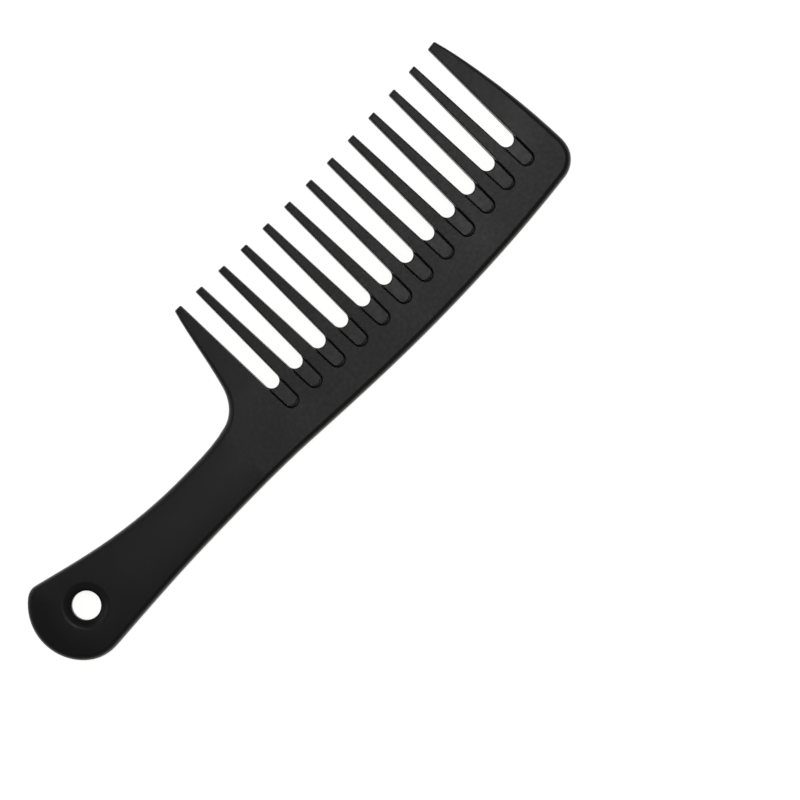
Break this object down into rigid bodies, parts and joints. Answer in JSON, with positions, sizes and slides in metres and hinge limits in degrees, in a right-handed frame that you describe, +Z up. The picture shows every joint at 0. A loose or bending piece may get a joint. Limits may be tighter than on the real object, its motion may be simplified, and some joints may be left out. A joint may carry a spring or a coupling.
{
  "type": "wide tooth comb",
  "caption": "Flat handled comb in black plastic with long tapered teeth, wide gaps between them and a dished hanging hole in the handle.",
  "frame": {"origin": "on the surface that the comb lies on, under the middle of its bounding box", "axes": "+X along the comb from the handle to the toe, +Y the way the teeth point, +Z up through the comb's thickness as it lies flat"},
  "size_m": [0.241, 0.0657, 0.006],
  "materials": {
    "handle_plastic": "black injection-moulded polypropylene, fine satin",
    "tooth_plastic": "black injection-moulded polypropylene, fine satin",
    "web_plastic": "black injection-moulded polypropylene, smoother floor of the recess"
  },
  "bodies": {
    "root": {"handle": "handle_plastic", "neck": "handle_plastic", "back": "tooth_plastic", "heel_tooth": "tooth_plastic", "tooth_01": "tooth_plastic", "tooth_02": "tooth_plastic", "tooth_03": "tooth_plastic", "tooth_04": "tooth_plastic", "tooth_05": "tooth_plastic", "tooth_06": "tooth_plastic", "tooth_07": "tooth_plastic", "tooth_08": "tooth_plastic", "tooth_09": "tooth_plastic", "tooth_10": "tooth_plastic", "tooth_11": "tooth_plastic", "toe_tooth": "tooth_plastic", "web_01": "web_plastic", "web_02": "web_plastic", "web_03": "web_plastic", "web_04": "web_plastic", "web_05": "web_plastic", "web_06": "web_plastic", "web_07": "web_plastic", "web_08": "web_plastic", "web_09": "web_plastic", "web_10": "web_plastic", "web_11": "web_plastic", "web_12": "web_plastic"}
  },
  "joints": []
}
